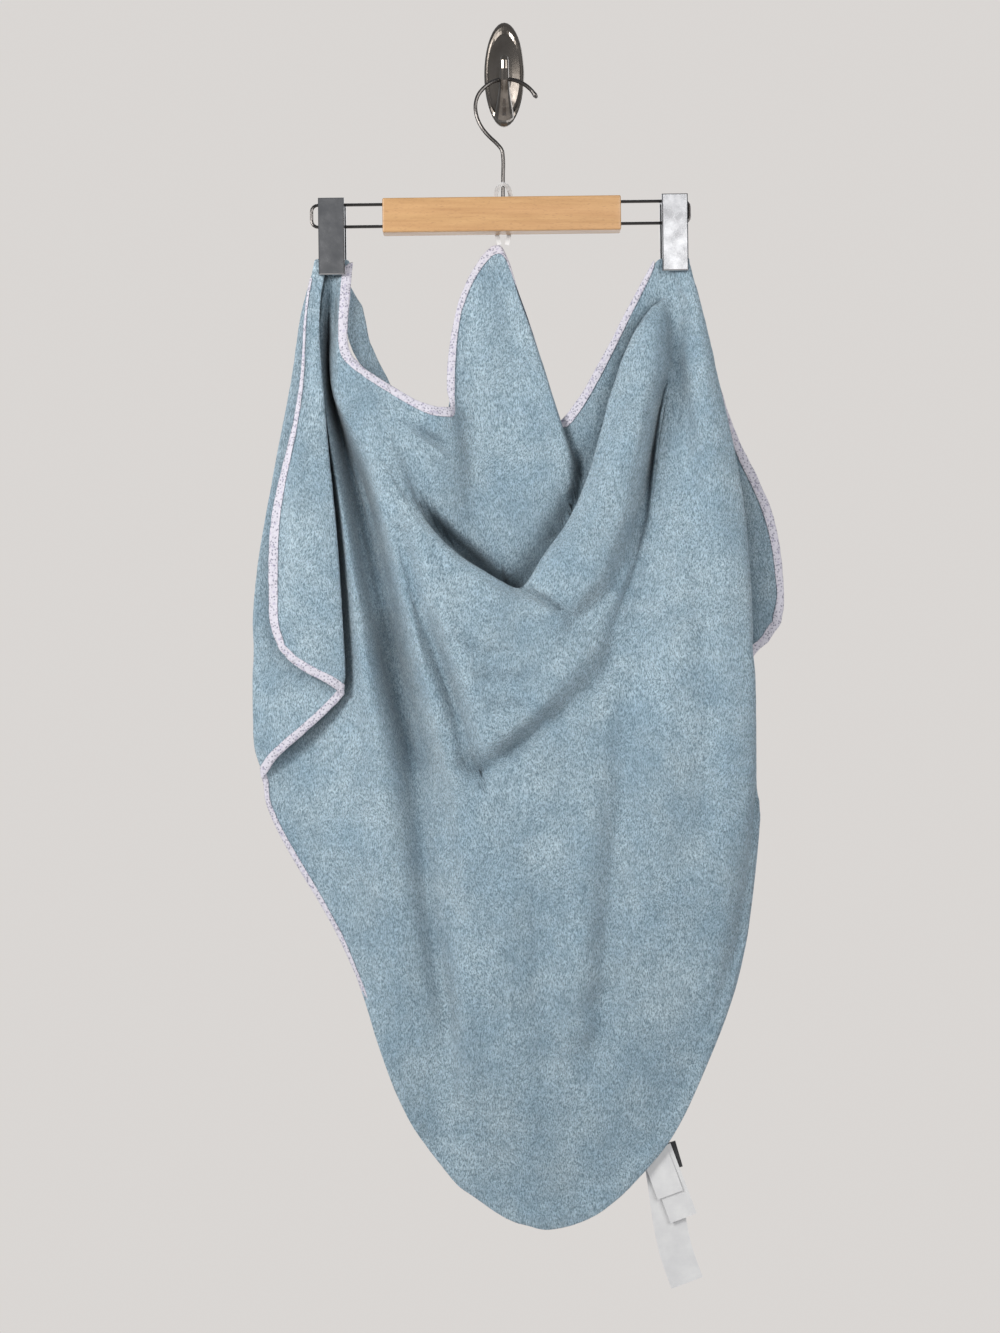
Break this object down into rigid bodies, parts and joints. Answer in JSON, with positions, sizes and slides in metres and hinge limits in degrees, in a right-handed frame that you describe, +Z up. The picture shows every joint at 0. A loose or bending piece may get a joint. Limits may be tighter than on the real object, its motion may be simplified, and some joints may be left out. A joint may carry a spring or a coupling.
{
  "type": "hooded towel on a clip hanger and wall hook",
  "caption": "Terry bath towel with a hood corner and printed bias binding, hung from two clips of a wooden hanger that hangs on an oval wall hook",
  "frame": {"origin": "the middle of the wall plate's flat back, on the wall", "axes": "+X to the right as seen from the room, +Y into the wall, +Z up; the towel hangs in front of the wall at negative Y"},
  "size_m": [0.5024, 0.0688, 1.191],
  "materials": {
    "terry": "cotton terry loops",
    "binding": "printed cotton bias tape",
    "label": "white woven tape",
    "label_black": "black woven tape",
    "bar": "clear lacquered beech",
    "chrome": "bright plated steel",
    "nickel": "dark polished nickel"
  },
  "bodies": {
    "root": {"towel_panel": "terry", "hood": "terry", "binding_neck": "binding", "binding_hem": "binding", "label_short": "label", "label_mid": "label", "label_tab": "label_black", "label_long": "label", "hanging_loop": "label", "hanger_bar": "bar", "hanger_wire_left": "chrome", "hanger_wire_right": "chrome", "clip_left_front": "chrome", "clip_left_back": "chrome", "clip_left_spring": "chrome", "clip_right_front": "chrome", "clip_right_back": "chrome", "clip_right_spring": "chrome", "hanger_hook": "chrome", "wall_plate": "nickel", "wall_prong": "nickel"}
  },
  "joints": []
}
